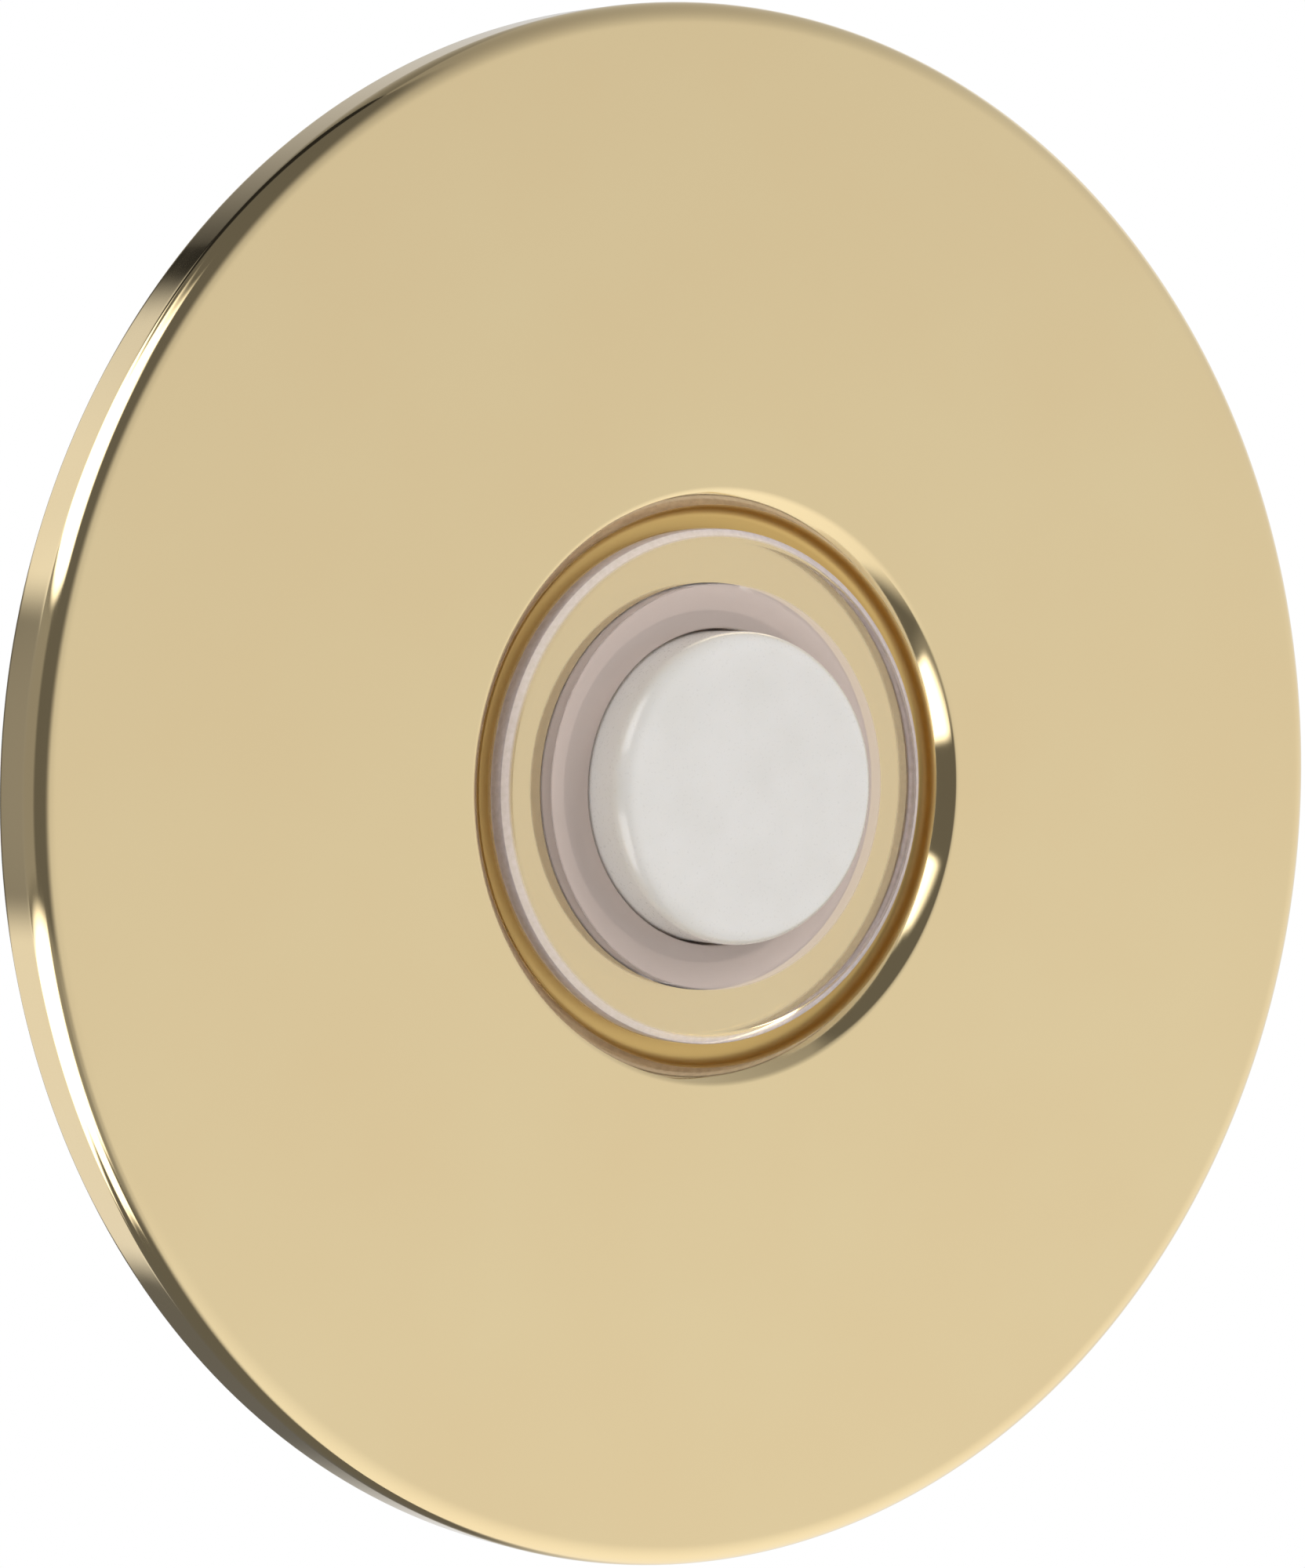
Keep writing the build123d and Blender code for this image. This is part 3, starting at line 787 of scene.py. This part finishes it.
@dataclass
class ClearRing:
    """The clear ring in the recess: a bevelled flange with a thin neck in the floor's hole."""

    finish: ClearMoulding
    radius: float = 10.5
    bore_radius: float = 6.45
    neck_radius: float = 7.2
    front: float = -2.55
    back: float = -1.43
    neck_end: float = 1.2
    bevel_width: float = 0.43
    bevel_height: float = 0.32
    back_chamfer: float = 0.15
    softening: float = 0.08
    segments: int = 192

    def section(self) -> Profile:
        """Gives the ring's section, from the bore's front edge outwards and back behind.

        Returns:
            Radius and depth of each ring.
        """
        soft = self.softening
        bevel_top = self.radius - self.bevel_width
        bevel_foot = self.front + self.bevel_height
        # Shares of the softening place one or two extra rings at each edge of the bevel
        return [
            *arc((self.bore_radius + soft, self.front + soft), soft, 180, 270, 5),
            (bevel_top - soft, self.front),
            (bevel_top - soft * 0.4, self.front + soft * 0.1),
            (bevel_top + soft * 0.3, self.front + soft * 0.4),
            (self.radius - soft * 0.4, bevel_foot - soft * 0.5),
            (self.radius, bevel_foot + soft * 0.5),
            (self.radius, self.back - self.back_chamfer),
            (self.radius - self.back_chamfer, self.back),
            (self.neck_radius, self.back),
            (self.neck_radius, self.neck_end),
            (self.bore_radius, self.neck_end),
        ]

    def build(self) -> None:
        """Turns the ring in place of the CAD's."""
        ring = turned("clear_ring", self.section(), self.segments)
        hand_over(ring, self.finish.build(), Body.FIXED, ("lens_ring",))


@dataclass
class PushButton:
    """The white cap with its contact ring, and the spring that returns them."""

    cap_finish: MouldedPlastic
    contact_finish: WorkedMetal
    spring_finish: WorkedMetal
    radius: float = 6.35
    front: float = -4.8
    front_thickness: float = 1.2
    rounding: float = 0.8
    wall: float = 1.15
    middle: float = 0.4
    guard: float = 0.08
    inner_corner: float = 0.2
    flange_radius: float = 6.85
    flange_front: float = 1.3
    flange_back: float = 2.5
    flange_edge: float = 0.05
    cap_segments: int = 160
    stakes: int = 4
    stake_radius: float = 0.4
    stake_root: float = 0.1
    stake_circle: float = 5.75
    stake_head_radius: float = 0.65
    stake_head_height: float = 0.3
    stake_head_rounding: float = 0.15
    stake_segments: int = 20
    contact_ring: float = 0.4
    spring_radius: float = 3.9
    wire_radius: float = 0.225
    spring_end: float = 9.7
    ground_off: float = 0.1
    spring_turns: float = 6.5
    closed_turns: float = 1.0
    wire_sides: int = 12
    steps_a_turn: int = 40
    pressed_length_share: float = 5.6 / 6.8

    def build_cap(self) -> None:
        """Turns the hollow cap and sets its stakes, their heads spread over the contact ring."""
        corner = (self.radius - self.rounding, self.front + self.rounding)
        hollow = self.radius - self.wall
        hollow_front = self.front + self.front_thickness
        edge = self.flange_edge
        section = [
            (self.middle, self.front),
            (corner[0] - self.guard, self.front),
            *arc(corner, self.rounding, -90, 0, 20),
            (self.radius, corner[1] + self.guard),
            (self.radius, self.flange_front - self.guard),
            (self.radius, self.flange_front),
            (self.flange_radius - edge, self.flange_front),
            (self.flange_radius, self.flange_front + edge),
            (self.flange_radius, self.flange_back - edge),
            (self.flange_radius - edge, self.flange_back),
            (hollow, self.flange_back),
            (hollow, hollow_front + self.inner_corner),
            (hollow - self.inner_corner, hollow_front),
            (self.middle, hollow_front),
        ]
        pieces = [turned("cap", section, self.cap_segments, closed=False)]
        head = self.flange_back + self.contact_ring
        rounding = self.stake_head_rounding
        top = (self.stake_head_radius - rounding, head + self.stake_head_height - rounding)
        stake = [
            (self.stake_radius, self.flange_back - self.stake_root),
            (self.stake_radius, head),
            (self.stake_head_radius, head),
            *arc(top, rounding, 0, 90, 4),
        ]
        for number in range(self.stakes):
            turn = math.radians(45 + 360 / self.stakes * number)
            place = (self.stake_circle * math.cos(turn), self.stake_circle * math.sin(turn))
            pieces.append(turned("stake", stake, self.stake_segments, place, closed=False))
        cap = join(pieces, "cap_with_stakes")
        hand_over(cap, self.cap_finish.build(), Body.BUTTON, ("button_cap",))

    def build_spring(self, material: Material) -> None:
        """Winds the spring with its end turns closed and ground flat on their seats.

        Args:
            material: The spring's finish.
        """
        start = self.flange_back + self.contact_ring
        deselect_all()
        bpy.ops.mesh.primitive_circle_add(
            vertices=self.wire_sides,
            radius=self.wire_radius * MM,
            location=(self.spring_radius * MM, 0, 0),
        )
        spring = bpy.context.object
        spring.name = "return_spring_wound"
        bpy.ops.object.transform_apply(location=True, rotation=True, scale=True)
        steps = round(self.spring_turns * self.steps_a_turn)
        screw = spring.modifiers.new("wind", "SCREW")
        screw.axis = "Y"
        screw.angle = math.radians(360 * self.spring_turns)
        screw.steps = screw.render_steps = steps
        screw.screw_offset = 0
        bpy.ops.object.modifier_apply(modifier=screw.name)
        self.open_coils(spring, start, steps)
        bpy.ops.object.mode_set(mode="EDIT")
        bpy.ops.mesh.select_all(action="SELECT")
        bpy.ops.mesh.normals_make_consistent(inside=False)
        for seat, way in ((start, -1), (self.spring_end, 1)):
            bpy.ops.mesh.select_all(action="SELECT")
            bpy.ops.mesh.bisect(
                plane_co=(0, seat * MM, 0), plane_no=(0, way, 0), use_fill=True, clear_outer=True
            )
        bpy.ops.mesh.select_all(action="SELECT")
        bpy.ops.mesh.fill_holes(sides=0)
        close_up()
        bpy.ops.object.shade_smooth_by_angle(angle=math.radians(40))
        hand_over(spring, material, Body.FIXED, ("return_spring",))
        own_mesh(spring)

    def open_coils(self, spring: Object, start: float, steps: int) -> None:
        """Lifts each step of the wound wire, slowly over the closed ends and evenly between.

        Args:
            spring: The wire, wound flat, with one ring of points after another.
            start: Depth of the front seat.
            steps: Number of steps along the wire.
        """
        low, high = start + self.ground_off, self.spring_end - self.ground_off
        closed_rise = 2 * self.wire_radius
        for index, point in enumerate(spring.data.vertices):
            turn = (index // self.wire_sides) / steps * self.spring_turns
            back_turn = self.spring_turns - turn
            if turn < self.closed_turns:
                depth = low + closed_rise * turn / self.closed_turns
            elif back_turn < self.closed_turns:
                depth = high - closed_rise * back_turn / self.closed_turns
            else:
                share = (turn - self.closed_turns) / (self.spring_turns - 2 * self.closed_turns)
                depth = low + closed_rise + (high - low - 2 * closed_rise) * share
            point.co.y += depth * MM

    def build(self, frame: dict) -> None:
        """Builds and dresses the moving parts.
        """
        self.build_cap()
        self.build_spring(self.spring_finish.build())
        dress(frame, self.contact_finish.build(), ("contact_ring",))


@dataclass
class Barrel:
    """The barrel in the wall and the toothed nut that holds it to the plate."""

    barrel_finish: MouldedPlastic
    nut_finish: WorkedMetal

    def build(self, frame: dict) -> None:
        """Dresses the barrel and the nut.
        """
        dress(frame, self.barrel_finish.build(), ("barrel_housing",))
        dress(frame, self.nut_finish.build(), ("push_nut",))


@dataclass
class LampUnit:
    """The lamp with its holder, leads and resistor."""

    lamp_finish: ClearMoulding
    holder_finish: MouldedPlastic
    wire_finish: WorkedMetal
    resistor_finish: MouldedPlastic
    lead_x: float = 1.27
    lead_side: float = 0.5
    foot: float = 8.1
    cup_radius: float = 0.95
    cup_height: float = 0.9
    cup_front: float = 3.6
    cup_wall: float = 0.15
    cup_hole: float = 0.3
    cup_segments: int = 40
    cup_post_inset: float = 0.2
    cup_post_reach: float = 0.9
    free_post_inset: float = 0.3
    free_post_reach: float = 0.15
    straight_share: float = 0.45

    def build_lead_frame(self, material: Material) -> None:
        """Turns the reflector cup and draws its post and the other post up inside the lamp.

        Args:
            material: The leads' finish.
        """
        wall, hole = self.cup_wall, self.cup_hole
        back = self.cup_front + self.cup_height
        cup = [
            (self.cup_radius, self.cup_front),
            (self.cup_radius, back),
            (hole, back),
            (hole, back - wall),
            (hole + wall, back - 2 * wall),
            (self.cup_radius - wall, self.cup_front),
        ]
        pieces = [
            turned("cup", cup, self.cup_segments),
            self.build_post(-1, back - self.cup_post_inset, self.cup_post_reach),
            self.build_post(1, self.cup_front + self.free_post_inset, self.free_post_reach),
        ]
        posts = join(pieces, "lamp_posts_and_cup")
        hand_over(posts, material, Body.FIXED)

    def build_post(self, side: int, top: float, inward: float) -> Object:
        """Draws one flat post from the lamp's foot up, with its head bent inwards.

        Args:
            side: -1 for the left post, 1 for the right.
            top: Depth of the post's top.
            inward: How far the head reaches towards the axis.

        Returns:
            The post.
        """
        deselect_all()
        bpy.ops.mesh.primitive_plane_add(
            size=self.lead_side * MM,
            location=(side * self.lead_x * MM, self.foot * MM, 0),
            rotation=(math.radians(90), 0, 0),
        )
        post = bpy.context.object
        bpy.ops.object.transform_apply(location=True, rotation=True, scale=True)
        bpy.ops.object.mode_set(mode="EDIT")
        bpy.ops.mesh.select_all(action="SELECT")
        straight = self.straight_share
        for across, share in ((0, straight), (-side * inward, 1 - straight)):
            move = (across * MM, share * (top - self.foot) * MM, 0)
            bpy.ops.mesh.extrude_region_move(TRANSFORM_OT_translate={"value": move})
        close_up()
        return post

    def build(self, frame: dict) -> None:
        """Builds and dresses the lamp unit.
        """
        wire = self.wire_finish.build()
        self.build_lead_frame(wire)
        dress(frame, self.lamp_finish.build(), ("lamp",))
        dress(frame, self.holder_finish.build(), ("lamp_holder",))
        dress(frame, wire, ("lamp_lead_left", "lamp_lead_right"))
        dress(frame, self.resistor_finish.build(), ("resistor",))


@dataclass
class Terminals:
    """The closing base with its contact strips, terminal plates, rivets, washers and screws."""

    base_finish: MouldedPlastic
    strip_finish: WorkedMetal
    point_finish: WorkedMetal
    screw_finish: WorkedMetal

    def build(self, frame: dict) -> None:
        """Dresses the terminals.
        """
        stamped = (
            "contact_strip_right",
            "contact_strip_left",
            "terminal_plate_right",
            "terminal_plate_left",
            "terminal_rivets",
        )
        dress(frame, self.base_finish.build(), ("terminal_base",))
        dress(frame, self.strip_finish.build(), stamped)
        dress(frame, self.point_finish.build(), ("contact_points",))
        dress(frame, self.screw_finish.build(), ("terminal_washers", "terminal_screws"))


class Card(Enum):
    """The studio's cards, with how bright each shows in the polished brass.

    A panel and a pale card hide the room behind them. A fill brightens it, a flag darkens it.
    """

    PANEL = 2.7
    PALE = 0.85
    FILL = 0.17
    FLAG = -0.12


@dataclass(frozen=True)
class Patch:
    """A soft-edged card on the studio's sky, in degrees.

    turn goes round from +Y towards -X, tilt goes up from the horizon. Each has four edges:
    where the card starts to open, is open, starts to close and is shut.
    """

    card: Card
    turn: Edges
    tilt: Edges


@dataclass(frozen=True)
class SoftLamp:
    """A large square lamp aimed at the origin, with its place and side in metres."""

    name: str
    place: Triple
    side: float
    watts: float


@dataclass(frozen=True)
class Studio:
    """The pale room: what the metal mirrors, the soft lamps, the floor and the camera.

    front_level, slope and shade give the room's wall, lit_window and lit_slant say where it is
    lit, and behind_clear and under_clear stand in for the lamps, whose light can't pass
    through clear plastic.
    """

    camera_azimuth: float = -35.2
    camera_elevation: float = 2.4
    camera_distance: float = 231.3 * MM
    aim: Triple = (-1.52 * MM, 0.0, 0.07 * MM)
    focal_length: float = 130.0
    sensor: float = 36.0
    clip_start: float = 10 * MM
    floor_gap: float = 25 * MM
    floor_radius: float = 200 * MM
    floor_fade: Pair = (50 * MM, 130 * MM)
    floor_segments: int = 96
    front_level: float = 0.66
    slope: Triple = (0.16, 0.0, -0.36)
    shade: float = 0.14
    lit_window: Edges = (-26, 4, 150, 174)
    lit_slant: float = -0.4
    behind_clear: float = 0.76
    under_clear: float = 1.55
    ambient: float = 0.62
    lamps: tuple[SoftLamp, ...] = (
        SoftLamp("key", (0.35, -0.45, 0.42), 0.35, 1.5),
        SoftLamp("rim", (-0.42, 0.30, 0.30), 0.30, 1.0),
        SoftLamp("side", (-0.50, -0.22, 0.10), 0.35, 0.5),
    )
    patches: tuple[Patch, ...] = (
        # The upper cards, in the rim's left side and in the lip's right side
        Patch(Card.PALE, (3, 9, 30, 40), (11, 15, 32, 37)),
        Patch(Card.PANEL, (24, 34, 120, 132), (19, 23, 40, 47)),
        Patch(Card.PANEL, (50, 66, 116, 128), (34, 38, 50, 60)),
        # The lower cards, in the same places
        Patch(Card.PALE, (2, 7, 30, 40), (-36, -32, -13, -9)),
        Patch(Card.PANEL, (26, 36, 124, 134), (-41, -36, -17, -12)),
        Patch(Card.PANEL, (66, 78, 110, 118), (-52, -47, -30, -26)),
        # The brown gap between them, and below it
        Patch(Card.FILL, (22, 30, 92, 108), (-14, -9, 17, 22)),
        Patch(Card.FILL, (116, 128, 152, 165), (-48, -38, -16, -11)),
        # The dark end of the rim at its upper left, and the bright wall at the right
        Patch(Card.FLAG, (-36, -27, 20, 30), (22, 32, 80, 89)),
        Patch(Card.PALE, (-92, -74, -42, -34), (-36, -24, 22, 32)),
    )

    def build_camera(self) -> None:
        """Puts the camera at the photograph's angle."""
        turn, rise = math.radians(self.camera_azimuth), math.radians(self.camera_elevation)
        level = math.cos(rise)
        back = Vector((math.sin(turn) * level, -math.cos(turn) * level, math.sin(rise)))
        camera = bpy.data.objects.new("camera", bpy.data.cameras.new("camera"))
        camera.data.lens = self.focal_length
        camera.data.sensor_width = self.sensor
        camera.data.clip_start = self.clip_start
        camera.location = Vector(self.aim) + back * self.camera_distance
        camera.rotation_euler = (-back).to_track_quat("-Z", "Y").to_euler()
        bpy.context.scene.collection.objects.link(camera)
        bpy.context.scene.camera = camera

    def build_world(self) -> None:
        """Makes the world: white to the eye, plain light on matt pieces, a room in the metal."""
        world = bpy.data.worlds.new("studio")
        bpy.context.scene.world = world
        world.use_nodes = True
        tree = world.node_tree
        tree.nodes.clear()
        room = self.add_room(tree)
        path = add_node(tree, "ShaderNodeLightPath").outputs
        light = mix(tree, path["Is Glossy Ray"], self.ambient, room)
        scattered = compute(tree, "MINIMUM", path["Diffuse Depth"], 1.0)
        beyond = mix(tree, scattered, self.behind_clear, self.under_clear)
        light = mix(tree, path["Is Transmission Ray"], light, beyond)
        seen = mix(tree, path["Is Camera Ray"], light, 1.0)
        background = add_node(tree, "ShaderNodeBackground", {"Color": seen})
        add_node(tree, "ShaderNodeOutputWorld", {"Surface": background})

    def add_room(self, tree: NodeTree) -> Node:
        """Paints the room by direction: pale in front and to the right, shade to the left, cards.

        Args:
            tree: The world's tree.

        Returns:
            The node that gives the room's brightness.
        """
        direction = add_node(tree, "ShaderNodeTexCoord").outputs["Generated"]
        right, depth, height = add_node(tree, "ShaderNodeSeparateXYZ", {0: direction}).outputs
        left = compute(tree, "MULTIPLY", right, -1.0)
        forward = compute(tree, "MULTIPLY", depth, -1.0)
        turn = compute(tree, "ARCTAN2", left, depth)
        bearing = compute(tree, "ARCTAN2", right, forward)
        tilt = compute(tree, "ARCSINE", height)
        slanted = compute(tree, "MULTIPLY_ADD", tilt, self.lit_slant, bearing)
        lit = self.add_window(tree, slanted, self.lit_window)
        slope = {0: direction, 1: self.slope}
        slope = add_node(tree, "ShaderNodeVectorMath", slope, operation="DOT_PRODUCT")
        wall = compute(tree, "ADD", slope.outputs["Value"], self.front_level)
        room = mix(tree, lit, self.shade, wall)
        for patch in self.patches:
            brightness = patch.card.value
            across = self.add_window(tree, turn, patch.turn)
            up = self.add_window(tree, tilt, patch.tilt)
            share = compute(tree, "MULTIPLY", across, up)
            if patch.card in (Card.PANEL, Card.PALE):
                room = mix(tree, share, room, brightness)
            else:
                room = compute(tree, "MULTIPLY_ADD", share, brightness, room)
        return room

    @staticmethod
    def add_window(tree: NodeTree, angle: Node, edges: Edges) -> Node:
        """Adds a soft-edged window over an angle.

        Args:
            tree: The world's tree.
            angle: The node that gives the angle in radians.
            edges: Degrees where the window starts to open, is open, starts to close, is shut.

        Returns:
            The node that gives 1 inside the window and 0 outside.
        """
        opens, is_open, closes, shut = (math.radians(edge) for edge in edges)
        rise = {"Value": angle, 1: opens, 2: is_open}
        fall = {"Value": angle, 1: closes, 2: shut, 3: 1.0, 4: 0.0}
        rise, fall = (
            add_node(tree, "ShaderNodeMapRange", side, interpolation_type="SMOOTHSTEP")
            for side in (rise, fall)
        )
        return compute(tree, "MULTIPLY", rise, fall)

    def build_lamps(self) -> None:
        """Hangs the large soft lamps that shape the matt surfaces and aren't mirrored."""
        for lamp in self.lamps:
            light = bpy.data.lights.new(lamp.name, "AREA")
            light.size = lamp.side
            light.energy = lamp.watts
            holder = bpy.data.objects.new(lamp.name, light)
            holder.location = lamp.place
            holder.rotation_euler = (-Vector(lamp.place)).to_track_quat("-Z", "Y").to_euler()
            holder.visible_glossy = False
            bpy.context.scene.collection.objects.link(holder)

    def build_floor(self, lowest: float) -> None:
        """Lays a pale paper floor that fades into the white background.

        Args:
            lowest: Height of the object's lowest point, in metres.
        """
        deselect_all()
        bpy.ops.mesh.primitive_circle_add(
            vertices=self.floor_segments,
            radius=self.floor_radius,
            fill_type="NGON",
            location=(0, 0, lowest - self.floor_gap),
        )
        floor = bpy.context.object
        floor.name = "floor"
        floor.data.materials.append(MattPaper(self.floor_fade).build())
        floor.visible_glossy = False
        floor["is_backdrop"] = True
        LOG.info("laid %s", floor.name)


def main() -> None:
    """Builds each sub-assembly in order, then the studio, and reports each piece."""
    logging.basicConfig(level=logging.INFO, format="%(message)s")
    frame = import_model()
    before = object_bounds()
    bpy.context.scene.view_settings.view_transform = "Standard"
    # Acrylic from a polished mould: glass-clear and milky where it was turned; its neck is painted
    # milky pink as painted light over the shaded gap behind it
    acrylic = ClearMoulding(
        "acrylic_moulded_clear", "#FDFCFA", 1.49, turned_from_mm=10.12, neck_inside_mm=8.3
    )
    # Rolled brass, stamped and left bare: warm and a little dull
    stamped = WorkedMetal("brass_rolled_stamped", "#D9B56E", "#B8914C", 0.26)
    # Spring steel, drawn and oiled: a dark grey gleam
    spring_steel = WorkedMetal("spring_steel_drawn_oiled", "#8B8D92", "#6E6F73", 0.3)
    # Opal ABS from a polished mould: a soft white that lets a little light in, under a gloss
    opal = MouldedPlastic(
        "abs_moulded_opal_white",
        "#E9E6E2",
        "#E4E1DC",
        0.3,
        depth_of_light=0.25,
        gloss=0.8,
        grain_height_mm=0.0015,
    )
    # Nylon, moulded in its natural colour: waxy, pinkish cream
    nylon = MouldedPlastic("nylon_moulded_natural", "#EADBD2", "#E2D2C8", 0.42, depth_of_light=0.2)
    # Nylon, moulded white: waxy, a little yellow
    white_nylon = MouldedPlastic(
        "nylon_moulded_white", "#E6E2D8", "#DDD8CC", 0.42, depth_of_light=0.2
    )
    # Cast epoxy: water-clear and glossy
    epoxy = ClearMoulding("epoxy_cast_clear", "#FBFBF6", 1.54, roughness=0.03)
    # Copper wire dipped in tin: bright, cool grey
    tinned = WorkedMetal("copper_wire_tinned", "#D3D4D6", "#B3B4B7", 0.26)
    # Lacquer, dipped over a carbon-film resistor: egg-shell beige under four value bands
    lacquer = MouldedPlastic(
        "resistor_lacquered_beige",
        "#CDB286",
        "#C2A578",
        0.3,
        bands=("#8A4B2A", "#2B2622", "#8A4B2A", "#C29A3F"),
    )
    # Phenolic, moulded dark: nearly black, brown where light catches it
    phenolic = MouldedPlastic("phenolic_moulded_dark", "#2A211D", "#352A24", 0.38)
    # Silver, pressed bright: the lightest and sharpest of the metals
    silver = WorkedMetal("silver_pressed_bright", "#E9E8E4", "#C9C7C0", 0.18)
    # Turned steel under zinc: a pale grey with a faint yellow bloom
    zinc = WorkedMetal("steel_turned_zinc_plated", "#D0CEC4", "#B4B0A0", 0.28)
    Plate(PolishedBrass()).build()
    ClearRing(acrylic).build()
    PushButton(opal, stamped, spring_steel).build(frame)
    Barrel(nylon, spring_steel).build(frame)
    LampUnit(epoxy, white_nylon, tinned, lacquer).build(frame)
    Terminals(phenolic, stamped, silver, zinc).build(frame)
    studio = Studio()
    studio.build_world()
    studio.build_lamps()
    studio.build_floor(before[0].z)
    studio.build_camera()


if __name__ == "__main__":
    main()
